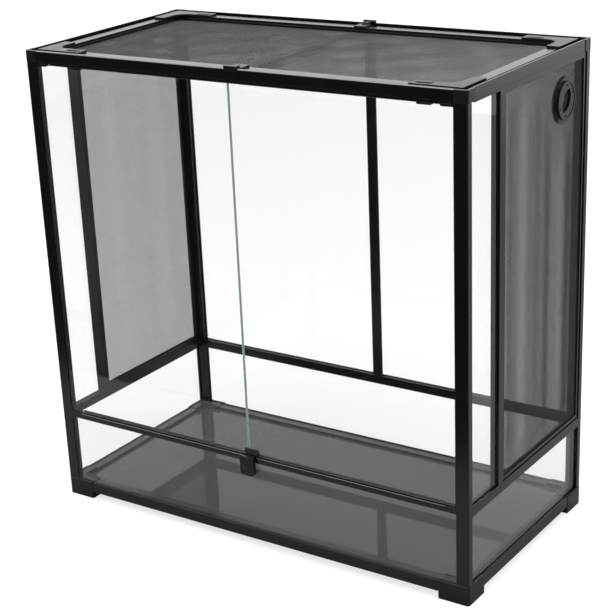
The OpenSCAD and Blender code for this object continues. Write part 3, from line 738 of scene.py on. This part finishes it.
@dataclass
class WovenMesh:
    """A cloth of coated wire: straight warp wires laid against weft wires.

    The real weave is finer than a picture of the whole cabinet can show, so its pitch is
    drawn about half as coarse again, with the wire in the same proportion. Each wire has
    four sides, and its width is taken over its corners.
    """

    name: str
    body: str
    node: str
    axis: Axis
    across: Axis
    along: Axis
    pitch: float = 2.0 * MM
    wire: float = 0.8 * MM
    bends: int = 12
    lift: float = 0.4
    folds: Callable[[float, float, Vector, Vector], float] | None = None
    hole: tuple[float, float] | None = None
    hole_steps: tuple[tuple[float, float], ...] = (
        (14 * MM, 34 * MM),
        (26 * MM, 26 * MM),
        (34 * MM, 14 * MM),
    )

    def half_gap(self, off_centre: float) -> float:
        """Looks up how far from the hole's centre a wire stops.

        Args:
            off_centre: how far the wire passes from the hole's centre.

        Returns:
            Half the gap in the wire, or 0 where it runs through.
        """
        for reach, gap in self.hole_steps:
            if self.hole and abs(off_centre) < reach:
                return gap
        return 0.0

    def strands(self, run: Axis, step: Axis, level: float) -> list[Piece]:
        """Lays all the wires that run one way.

        Args:
            run: the direction that these wires run in.
            step: the direction in which they repeat.
            level: where their centres lie on the mesh's own axis.

        Returns:
            One object for each block of equal wires.
        """
        low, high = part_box(self.node)
        count = int((high[step.value] - low[step.value]) / self.pitch)
        spare = (high[step.value] - low[step.value]) - (count - 1) * self.pitch
        first = low[step.value] + spare / 2
        centre = dict(zip((self.across, self.along), self.hole or (0.0, 0.0)))
        wires = [first + i * self.pitch for i in range(count)]
        made = []
        for gap, group in itertools.groupby(
            wires, key=lambda at: self.half_gap(at - centre[step])
        ):
            block = list(group)
            ends = [(low[run.value], high[run.value])]
            if gap:
                middle = centre[run]
                ends = [(ends[0][0], middle - gap), (middle + gap, ends[0][1])]
            for start, stop in ends:
                made.append(self.block(run, step, level, block, start, stop))
        return made

    def block(
        self,
        run: Axis,
        step: Axis,
        level: float,
        wires: list[float],
        start: float,
        stop: float,
    ) -> Piece:
        """Models one wire of a block and repeats it.

        Args:
            run: the direction that the wires run in.
            step: the direction in which they repeat.
            level: where their centres lie on the mesh's own axis.
            wires: the wires' places in the step direction.
            start: where they start.
            stop: where they end.

        Returns:
            The block as one object.
        """
        centre = Vector((0, 0, 0))
        centre[self.axis.value] = level
        centre[step.value] = wires[0]
        centre[run.value] = (start + stop) / 2
        bpy.ops.object.select_all(action="DESELECT")
        bpy.ops.mesh.primitive_cylinder_add(
            vertices=4, radius=self.wire / 2, depth=stop - start, end_fill_type="NGON"
        )
        wire = bpy.context.object
        wire.rotation_euler = UPRIGHT_TO[run]
        wire.location = centre
        bpy.ops.object.transform_apply(location=True, rotation=True, scale=True)
        points = [vertex.co for vertex in wire.data.vertices]
        edit_chosen(
            wire,
            edges=lambda edge: (points[edge.vertices[0]] - points[edge.vertices[1]]).length
            > (stop - start) / 2,
        )
        bpy.ops.mesh.subdivide(number_cuts=self.bends - 1)
        bpy.ops.object.mode_set(mode="OBJECT")
        if len(wires) > 1:
            offset = [0.0, 0.0, 0.0]
            offset[step.value] = self.pitch
            apply_modifier(
                wire,
                "ARRAY",
                count=len(wires),
                use_relative_offset=False,
                use_constant_offset=True,
                constant_offset_displace=offset,
            )
        return wire

    def build(self) -> Piece:
        """Lays warp and weft, joins them and lets the cloth sag in its soft folds.

        Returns:
            The mesh cloth, which stands for its CAD sheet.
        """
        low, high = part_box(self.node)
        middle = (low[self.axis.value] + high[self.axis.value]) / 2
        lift = self.wire * self.lift
        parts = self.strands(self.along, self.across, middle + lift)
        parts += self.strands(self.across, self.along, middle - lift)
        bpy.ops.object.select_all(action="DESELECT")
        for part in parts:
            part.select_set(True)
        bpy.context.view_layer.objects.active = parts[0]
        bpy.ops.object.join()
        cloth = bpy.context.object
        cloth.name = self.name
        if self.folds:
            for vertex in cloth.data.vertices:
                u, v = vertex.co[self.across.value], vertex.co[self.along.value]
                vertex.co[self.axis.value] += self.folds(u, v, low, high)
        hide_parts(self.node)
        return dress(cloth, self.body, WIRE)


def edge_ease(at: float, low: float, high: float, reach: float) -> float:
    """Works out how free a cloth is to bulge near the ends of a span.

    Args:
        at: the place along the span.
        low: where the span starts.
        high: where it ends.
        reach: how far inside either end the cloth is wholly free.

    Returns:
        0 at either end and 1 from the reach inwards, with a soft rise between.
    """
    inside = max(0.0, min(at - low, high - at) / reach)
    step = min(1.0, inside)
    return step * step * (3 - 2 * step)


# ---------------------------------------------------------------- sub-assemblies


CORNERS = tuple(f"{end}_{side}" for end in ("front", "back") for side in ("left", "right"))
SIDES = ("front", "back", "left", "right")


@dataclass
class BarFrame:
    """The cabinet's coated bars: base, posts, top, sill, cross bars and dividers."""

    body: str = "cabinet"
    ease_mm: float = 0.7
    bars: tuple[str, ...] = (
        *(f"base_bar_{side}" for side in SIDES),
        *(f"post_{corner}" for corner in CORNERS),
        *(f"top_bar_{side}" for side in SIDES),
        "door_sill",
        "cross_bar_back",
        "cross_bar_left",
        "cross_bar_right",
        "divider_back",
        "divider_left",
        "divider_right",
        "mesh_frame_left",
        "mesh_frame_right",
    )

    def build(self) -> None:
        """Rounds and coats every bar."""
        for bar in self.bars:
            dress(eased_copy(bar, f"{bar}_coated", self.ease_mm), self.body, BAR)


@dataclass
class CornerMouldings:
    """The four feet and four caps of moulded plastic."""

    body: str = "cabinet"
    foot_ease_mm: float = 1.4
    cap_ease_mm: float = 0.9

    def build(self) -> None:
        """Rounds and grains each foot and cap."""
        for corner in CORNERS:
            foot = eased_copy(f"foot_{corner}", f"foot_{corner}_moulded", self.foot_ease_mm, 3)
            dress(foot, self.body, PLASTIC)
            cap = eased_copy(f"cap_{corner}", f"cap_{corner}_moulded", self.cap_ease_mm)
            dress(cap, self.body, PLASTIC)


@dataclass
class Glazing:
    """The fixed panes: clear walls, side strips and the dark floor."""

    body: str = "cabinet"
    arris_mm: float = 0.5
    panes: tuple[tuple[str, Axis], ...] = (
        ("lower_glass_front", Axis.Y),
        ("lower_glass_back", Axis.Y),
        ("lower_glass_left", Axis.X),
        ("lower_glass_right", Axis.X),
        ("upper_glass_back_left", Axis.Y),
        ("upper_glass_back_right", Axis.Y),
        ("strip_glass_left", Axis.X),
        ("strip_glass_right", Axis.X),
    )

    def build(self) -> None:
        """Grinds each pane's edges and paints the floor pane."""
        for node, axis in self.panes:
            ground_pane(node, axis, self.body, self.arris_mm)
        floor = eased_copy("floor_glass", "floor_glass_painted", self.arris_mm)
        dress(floor, self.body, FLOOR_GLASS)


def ground_pane(
    node: str, axis: Axis, body: str, arris_mm: float, open_way: Point = (0, 0, 0)
) -> Piece:
    """Makes a pane with ground edges from its CAD node.

    Args:
        node: the CAD pane.
        axis: the direction that the pane faces.
        body: the body that it moves with.
        arris_mm: how wide its edges are eased.
        open_way: the direction of its one open edge, or zero where it has none.

    Returns:
        The pane, with its seated edges in painted shade and its open edge as further finishes.
    """
    pane = eased_copy(node, f"{node}_pane", arris_mm, 1)
    dress(pane, body, GLASS, SEATED_EDGE_PAINTED_SHADE, GLASS_EDGE)
    for face in pane.data.polygons:
        if abs(face.normal[axis.value]) > FACING:
            face.material_index = 0
        else:
            # slot 1 holds the seated edges in painted shade, and slot 2 the open edge
            face.material_index = 2 if face.normal.dot(Vector(open_way)) > 0.5 else 1
    return pane


@dataclass
class SideWindow:
    """One mesh window: its woven cloth with soft upright folds, and its rubber cord."""

    side: str
    sign: int
    hole: tuple[float, float] | None = None
    body: str = "cabinet"
    cord: float = 3.0 * MM
    cord_height: float = 1.6 * MM
    cord_inset: float = 5.0 * MM
    cord_ease: float = 0.6 * MM
    fold_mm: tuple[float, ...] = (0.55, 0.22, 0.06)
    fold_wave: tuple[float, ...] = (125 * MM, 71 * MM, 37 * MM)
    fold_shift: tuple[float, ...] = (0.4, 1.9, 3.1)
    drift: float = 0.25
    drift_wave: float = 0.31
    side_ease: float = 30 * MM
    end_ease: float = 40 * MM
    calm: float = 75 * MM

    def folds(self, y: float, z: float, low: Vector, high: Vector) -> float:
        """Works out the cloth's upright folds, which die out at its edges and at the port.

        Args:
            y: the point's place across the folds.
            z: the point's height.
            low: the lowest corner of the cloth's box.
            high: the highest corner of the cloth's box.

        Returns:
            How far the cloth bulges there.
        """
        drift = self.drift * math.sin(z / self.drift_wave)
        bulge = sum(
            depth * MM * math.sin(2 * math.pi * y / wave + shift + drift)
            for depth, wave, shift in zip(self.fold_mm, self.fold_wave, self.fold_shift)
        )
        bulge *= edge_ease(y, low.y, high.y, self.side_ease)
        bulge *= edge_ease(z, low.z, high.z, self.end_ease)
        if self.hole:
            away = math.hypot(y - self.hole[0], z - self.hole[1]) / self.calm
            bulge *= min(1.0, max(0.0, away - 0.5))
        return bulge

    def build(self) -> None:
        """Weaves the cloth and lays the cord round it."""
        node = f"side_mesh_{self.side}"
        WovenMesh(
            f"{node}_woven",
            self.body,
            node,
            Axis.X,
            Axis.Y,
            Axis.Z,
            folds=self.folds,
            hole=self.hole,
        ).build()
        low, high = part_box(node)
        outer = high.x if self.sign > 0 else low.x
        near, far = sorted((outer, outer + self.sign * self.cord_height))
        edge = self.cord_inset - self.cord
        cord = ring_frame(
            f"mesh_cord_{self.side}",
            Axis.X,
            (near, low.y + edge, low.z + edge),
            (far, high.y - edge, high.z - edge),
            self.cord,
        )
        apply_modifier(cord, "BEVEL", width=self.cord_ease, segments=2, limit_method="ANGLE")
        smooth_by_angle(cord)
        dress(cord, self.body, RUBBER)


@dataclass
class CablePort:
    """The round cable port: flange, clamp ring, turning shutter, slit rubber and screws."""

    ease_mm: float = 0.5
    rubber_radius: float = 25.8 * MM
    rubber_thick: float = 1.2 * MM
    slit_length: float = 43 * MM
    slit_width: float = 0.5 * MM
    slits: int = 4
    sides: int = 64
    cut_depth: float = 10 * MM
    leaf_ease: float = 0.12 * MM

    def slit_rubber(self) -> None:
        """Sets the rubber disc behind the shutter, slit into leaves that close on a cable."""
        low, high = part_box("port_shutter")
        centre = (low + high) / 2
        centre.x = low.x - 2 * self.rubber_thick
        bpy.ops.object.select_all(action="DESELECT")
        bpy.ops.mesh.primitive_cylinder_add(
            vertices=self.sides,
            radius=self.rubber_radius,
            depth=self.rubber_thick,
            location=centre,
            rotation=(0, math.pi / 2, 0),
        )
        disc = bpy.context.object
        disc.name = "port_slit_rubber"
        bpy.ops.object.transform_apply(location=True, rotation=True, scale=True)
        bpy.ops.mesh.primitive_cube_add(size=1.0)
        cutter = bpy.context.object
        set_size_and_place(cutter, (self.cut_depth, self.slit_width, self.slit_length), centre)
        bpy.ops.object.mode_set(mode="EDIT")
        bpy.ops.mesh.select_all(action="SELECT")
        for _ in range(self.slits - 1):
            bpy.ops.mesh.duplicate()
            bpy.ops.transform.rotate(
                value=math.pi / self.slits, orient_axis="X", center_override=centre
            )
        bpy.ops.object.mode_set(mode="OBJECT")
        apply_modifier(
            disc, "BOOLEAN", operation="DIFFERENCE", object=cutter, solver="EXACT", use_self=True
        )
        bpy.data.objects.remove(cutter)
        apply_modifier(disc, "BEVEL", width=self.leaf_ease, segments=1, limit_method="ANGLE")
        smooth_by_angle(disc)
        dress(disc, "cabinet", RUBBER)

    def build(self) -> None:
        """Rounds the mouldings, plates the screws and sets the rubber in."""
        self.slit_rubber()
        for node, body in (
            ("port_flange", "cabinet"),
            ("port_clamp_ring", "cabinet"),
            ("port_shutter", "shutter"),
        ):
            dress(eased_copy(node, f"{node}_moulded", self.ease_mm), body, PLASTIC)
        carry_over("port_screws", STEEL)


def carry_over(node: str, finish: Finish) -> None:
    """Keeps a CAD node's own shape and gives it a finish.

    Args:
        node: the CAD node.
        finish: the finish that covers it.
    """
    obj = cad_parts[node]
    obj.data.materials.clear()
    obj.data.materials.append(finish.material())
    log.info("%s keeps its shape, in %s", node, finish.name)


@dataclass
class Doors:
    """The two glass doors with their hinge shoes and strike plates."""

    arris_mm: float = 0.6
    fitting_ease_mm: float = 0.4

    def build(self) -> None:
        """Grinds the door panes and coats their fittings."""
        for side in ("left", "right"):
            body = f"door_{side}"
            inward = (1, 0, 0) if side == "left" else (-1, 0, 0)
            ground_pane(f"door_glass_{side}", Axis.Y, body, self.arris_mm, inward)
            fittings = eased_copy(
                f"door_fittings_{side}", f"door_fittings_{side}_coated", self.fitting_ease_mm
            )
            dress(fittings, body, BAR)


@dataclass
class KeyLock:
    """The lock under the doors' meeting edge: housing, bolt and key barrel."""

    ease_mm: float = 0.8

    def build(self) -> None:
        """Rounds the housing and bolt and plates the barrel."""
        dress(eased_copy("lock_housing", "lock_housing_moulded", self.ease_mm), "cabinet", PLASTIC)
        dress(eased_copy("lock_bolt", "lock_bolt_coated", self.ease_mm), "bolt", BAR)
        carry_over("lock_barrel", STEEL)


@dataclass
class ScreenLid:
    """The screen lid: coated bars, moulded corners and clips, crossbar and woven cloth."""

    body: str = "lid"
    bar_ease_mm: float = 0.7
    moulding_ease_mm: float = 0.7
    pitch: float = 1.8 * MM
    wire: float = 0.39 * MM
    latches: tuple[str, ...] = ("fl", "fr", "bl", "br")
    crease_mm: tuple[float, ...] = (0.12, 0.08)
    crease_wave: tuple[float, ...] = (140 * MM, 210 * MM)
    crease_slant: tuple[float, ...] = (0.8, -1.7)
    crease_shift: tuple[float, ...] = (0.0, 1.0)
    edge: float = 40 * MM

    def folds(self, x: float, y: float, low: Vector, high: Vector) -> float:
        """Works out the slack creases that slant over the lid's cloth.

        Args:
            x: the point's place from left to right.
            y: the point's place from front to back.
            low: the lowest corner of the cloth's box.
            high: the highest corner of the cloth's box.

        Returns:
            How far the cloth lies off flat there.
        """
        bulge = sum(
            depth * MM * math.sin(2 * math.pi * (x + slant * y) / wave + shift)
            for depth, wave, slant, shift in zip(
                self.crease_mm, self.crease_wave, self.crease_slant, self.crease_shift
            )
        )
        bulge *= edge_ease(x, low.x, high.x, self.edge)
        return bulge * edge_ease(y, low.y, high.y, self.edge)

    def build(self) -> None:
        """Coats the bars, rounds the mouldings, weaves the cloth and sets the latches."""
        for node in ("screen_frame", "screen_crossbar"):
            dress(eased_copy(node, f"{node}_coated", self.bar_ease_mm), self.body, BAR)
        for node in ("screen_corners", "screen_clips"):
            dress(eased_copy(node, f"{node}_moulded", self.moulding_ease_mm), self.body, PLASTIC)
        WovenMesh(
            "screen_mesh_woven",
            self.body,
            "screen_mesh",
            Axis.Z,
            Axis.X,
            Axis.Y,
            pitch=self.pitch,
            wire=self.wire,
            folds=self.folds,
        ).build()
        for corner, short in zip(CORNERS, self.latches):
            latch = eased_copy(f"latch_{corner}", f"latch_{corner}_moulded", self.moulding_ease_mm)
            dress(latch, f"latch_{short}", PLASTIC)


# ---------------------------------------------------------------- studio


@dataclass
class Studio:
    """Floor, light and camera: a white table in a bright room, under one wide lamp.

    The table glows for the camera alone and the room is bright behind and dim in front,
    so that the gloss mirrors a lighter and a darker side, as it does in a photo studio.
    """

    front_edge: float = -0.72
    reach: float = 3.0
    yaw: float = 35.69
    pitch: float = 21.76
    roll: float = -3.01
    eye: Point = (1.56296, -2.31798, 1.41357)
    focal_px: float = 1586.3
    centre_px: tuple[float, float] = (269.87, 358.34)
    image_px: float = 616.0
    sensor_mm: float = 36.0
    soft_light: float = 1.1
    backdrop: float = 1.18
    table_glow: float = 0.72
    table_tone: str = "#9d9d9d"
    table_roughness: float = 0.9
    table_specular: float = 0.1
    sky_levels: tuple[tuple[float, float], ...] = (
        (0.0, 1.0),
        (0.22, 0.85),
        (0.38, 0.5),
        (0.5, 0.36),
        (1.0, 0.3),
    )
    sky_strength: float = 1.7
    panel_way: Point = (-0.54, -0.12, 0.83)
    panel_strength: float = 7.0
    panel_edge: tuple[float, float] = (0.8, 0.95)
    turn: tuple[float, float] = (-0.3, 0.35)
    horizon: float = 0.03
    front_sky: float = 0.5
    ground_levels: tuple[float, float] = (0.03, 1.0)
    lamp_size: tuple[float, float] = (3.0, 2.2)
    lamp_watts: float = 55.0
    lamp_place: Point = (0.0, 0.3, 2.8)
    far_clip: float = 50.0

    def floor(self) -> None:
        """Lays the white table top, which ends a little in front of the cabinet."""
        bpy.ops.object.select_all(action="DESELECT")
        bpy.ops.mesh.primitive_plane_add(size=1.0)
        table = bpy.context.object
        table.name = "table_top"
        set_size_and_place(
            table,
            (2 * self.reach, self.reach - self.front_edge, 1),
            (0, (self.front_edge + self.reach) / 2, 0),
        )
        white = bpy.data.materials.new("white_table")
        white.use_nodes = True
        tree = white.node_tree
        surface = tree.nodes["Principled BSDF"]
        surface.inputs["Base Color"].default_value = linear(self.table_tone)
        surface.inputs["Emission Color"].default_value = linear("#ffffff")
        surface.inputs["Roughness"].default_value = self.table_roughness
        surface.inputs["Specular IOR Level"].default_value = self.table_specular
        ray = add_node(tree, "ShaderNodeLightPath")
        glow = add_node(
            tree,
            "ShaderNodeMath",
            {"operation": "MULTIPLY", 1: self.table_glow},
            {0: ray.outputs["Is Camera Ray"]},
        )
        tree.links.new(glow.outputs[0], surface.inputs["Emission Strength"])
        table.data.materials.append(white)

    def mirrored_room(self, tree: Tree) -> Socket:
        """Paints what a glossy surface mirrors: sky, ground and one bright panel.

        Args:
            tree: the world's node tree.

        Returns:
            The brightness in each direction.
        """
        place = add_node(tree, "ShaderNodeTexCoord")
        way = add_node(tree, "ShaderNodeSeparateXYZ", links={0: place.outputs["Generated"]})
        rise = add_node(tree, "ShaderNodeValToRGB", links={"Fac": way.outputs["Z"]})
        ramp = rise.color_ramp.elements
        ramp.remove(ramp[1])
        for step, (at, level) in enumerate(self.sky_levels):
            stop = ramp.new(at) if step else ramp[0]
            stop.color = (level, level, level, 1.0)
        behind = add_node(
            tree,
            "ShaderNodeMapRange",
            {"From Min": self.turn[0], "From Max": self.turn[1]},
            {"Value": way.outputs["Y"]},
        )
        above = add_node(
            tree,
            "ShaderNodeMapRange",
            {"From Min": -self.horizon, "From Max": self.horizon},
            {"Value": way.outputs["Z"]},
        )
        sky = add_node(
            tree,
            "ShaderNodeMath",
            {"operation": "MULTIPLY", 1: self.sky_strength},
            {0: rise.outputs["Color"]},
        )
        sky_front = add_node(
            tree,
            "ShaderNodeMix",
            {"data_type": "FLOAT", 2: self.front_sky},
            {0: behind.outputs["Result"], 3: sky.outputs[0]},
        )
        ground = add_node(
            tree,
            "ShaderNodeMix",
            {"data_type": "FLOAT", 2: self.ground_levels[0], 3: self.ground_levels[1]},
            {0: behind.outputs["Result"]},
        )
        lit = add_node(
            tree,
            "ShaderNodeMix",
            {"data_type": "FLOAT"},
            {0: above.outputs["Result"], 2: ground.outputs[0], 3: sky_front.outputs[0]},
        )
        facing = add_node(
            tree,
            "ShaderNodeVectorMath",
            {"operation": "DOT_PRODUCT", 1: self.panel_way},
            {0: place.outputs["Generated"]},
        )
        panel = add_node(
            tree,
            "ShaderNodeMapRange",
            {
                "From Min": self.panel_edge[0],
                "From Max": self.panel_edge[1],
                "To Max": self.panel_strength,
            },
            {"Value": facing.outputs["Value"]},
        )
        mirrored = add_node(
            tree,
            "ShaderNodeMath",
            {"operation": "ADD"},
            {0: lit.outputs[0], 1: panel.outputs["Result"]},
        )
        return mirrored.outputs[0]

    def room(self) -> None:
        """Lights the world: white where seen, soft on matt surfaces, shaped for gloss."""
        world = bpy.data.worlds.new("bright_room")
        bpy.context.scene.world = world
        world.use_nodes = True
        world.cycles.sampling_method = "NONE"
        tree = world.node_tree
        tree.nodes.clear()
        mirrored = self.mirrored_room(tree)
        ray = add_node(tree, "ShaderNodeLightPath")
        soft = add_node(
            tree,
            "ShaderNodeMix",
            {"data_type": "FLOAT", 3: self.soft_light},
            {0: ray.outputs["Is Diffuse Ray"], 2: mirrored},
        )
        strength = add_node(
            tree,
            "ShaderNodeMix",
            {"data_type": "FLOAT", 3: self.backdrop},
            {0: ray.outputs["Is Camera Ray"], 2: soft.outputs[0]},
        )
        background = add_node(
            tree,
            "ShaderNodeBackground",
            {"Color": linear("#ffffff")},
            {"Strength": strength.outputs[0]},
        )
        output = add_node(tree, "ShaderNodeOutputWorld")
        tree.links.new(background.outputs["Background"], output.inputs["Surface"])

    def lamp(self) -> None:
        """Hangs a wide soft lamp over the cabinet."""
        softbox = bpy.data.lights.new("overhead_softbox", "AREA")
        softbox.shape = "RECTANGLE"
        softbox.size, softbox.size_y = self.lamp_size
        softbox.energy = self.lamp_watts
        holder = bpy.data.objects.new(softbox.name, softbox)
        holder.location = self.lamp_place
        holder.visible_camera = False
        bpy.context.scene.collection.objects.link(holder)

    def camera(self) -> None:
        """Sets the camera where the picture was taken from, with the picture's own framing."""
        yaw, pitch, roll = (math.radians(a) for a in (self.yaw, self.pitch, self.roll))
        back = Vector(
            (
                math.sin(yaw) * math.cos(pitch),
                -math.cos(yaw) * math.cos(pitch),
                math.sin(pitch),
            )
        )
        level = (-back).cross(Vector((0, 0, 1))).normalized()
        upright = level.cross(-back)
        right = math.cos(roll) * level + math.sin(roll) * upright
        up = -math.sin(roll) * level + math.cos(roll) * upright
        camera = bpy.data.cameras.new("front_right_view")
        camera.sensor_width = self.sensor_mm
        camera.lens = self.focal_px / self.image_px * self.sensor_mm
        camera.shift_x = (self.image_px / 2 - self.centre_px[0]) / self.image_px
        camera.shift_y = (self.centre_px[1] - self.image_px / 2) / self.image_px
        camera.clip_end = self.far_clip
        holder = bpy.data.objects.new("front_right_view", camera)
        holder.matrix_world = Matrix.Translation(self.eye) @ Matrix(
            (right, up, back)
        ).transposed().to_4x4()
        bpy.context.scene.collection.objects.link(holder)
        bpy.context.scene.camera = holder

    def build(self) -> None:
        """Sets the whole studio up."""
        self.camera()
        self.floor()
        self.room()
        self.lamp()
        bpy.context.scene.view_settings.view_transform = "Standard"


def main() -> None:
    """Dresses the terrarium and sets up its studio."""
    logging.basicConfig(level=logging.INFO, format="%(name)s: %(message)s")
    Studio().build()
    BarFrame().build()
    CornerMouldings().build()
    Glazing().build()
    SideWindow("left", -1).build()
    SideWindow("right", 1, hole=(130 * MM, 800 * MM)).build()
    CablePort().build()
    Doors().build()
    KeyLock().build()
    ScreenLid().build()


if __name__ == "__main__":
    main()
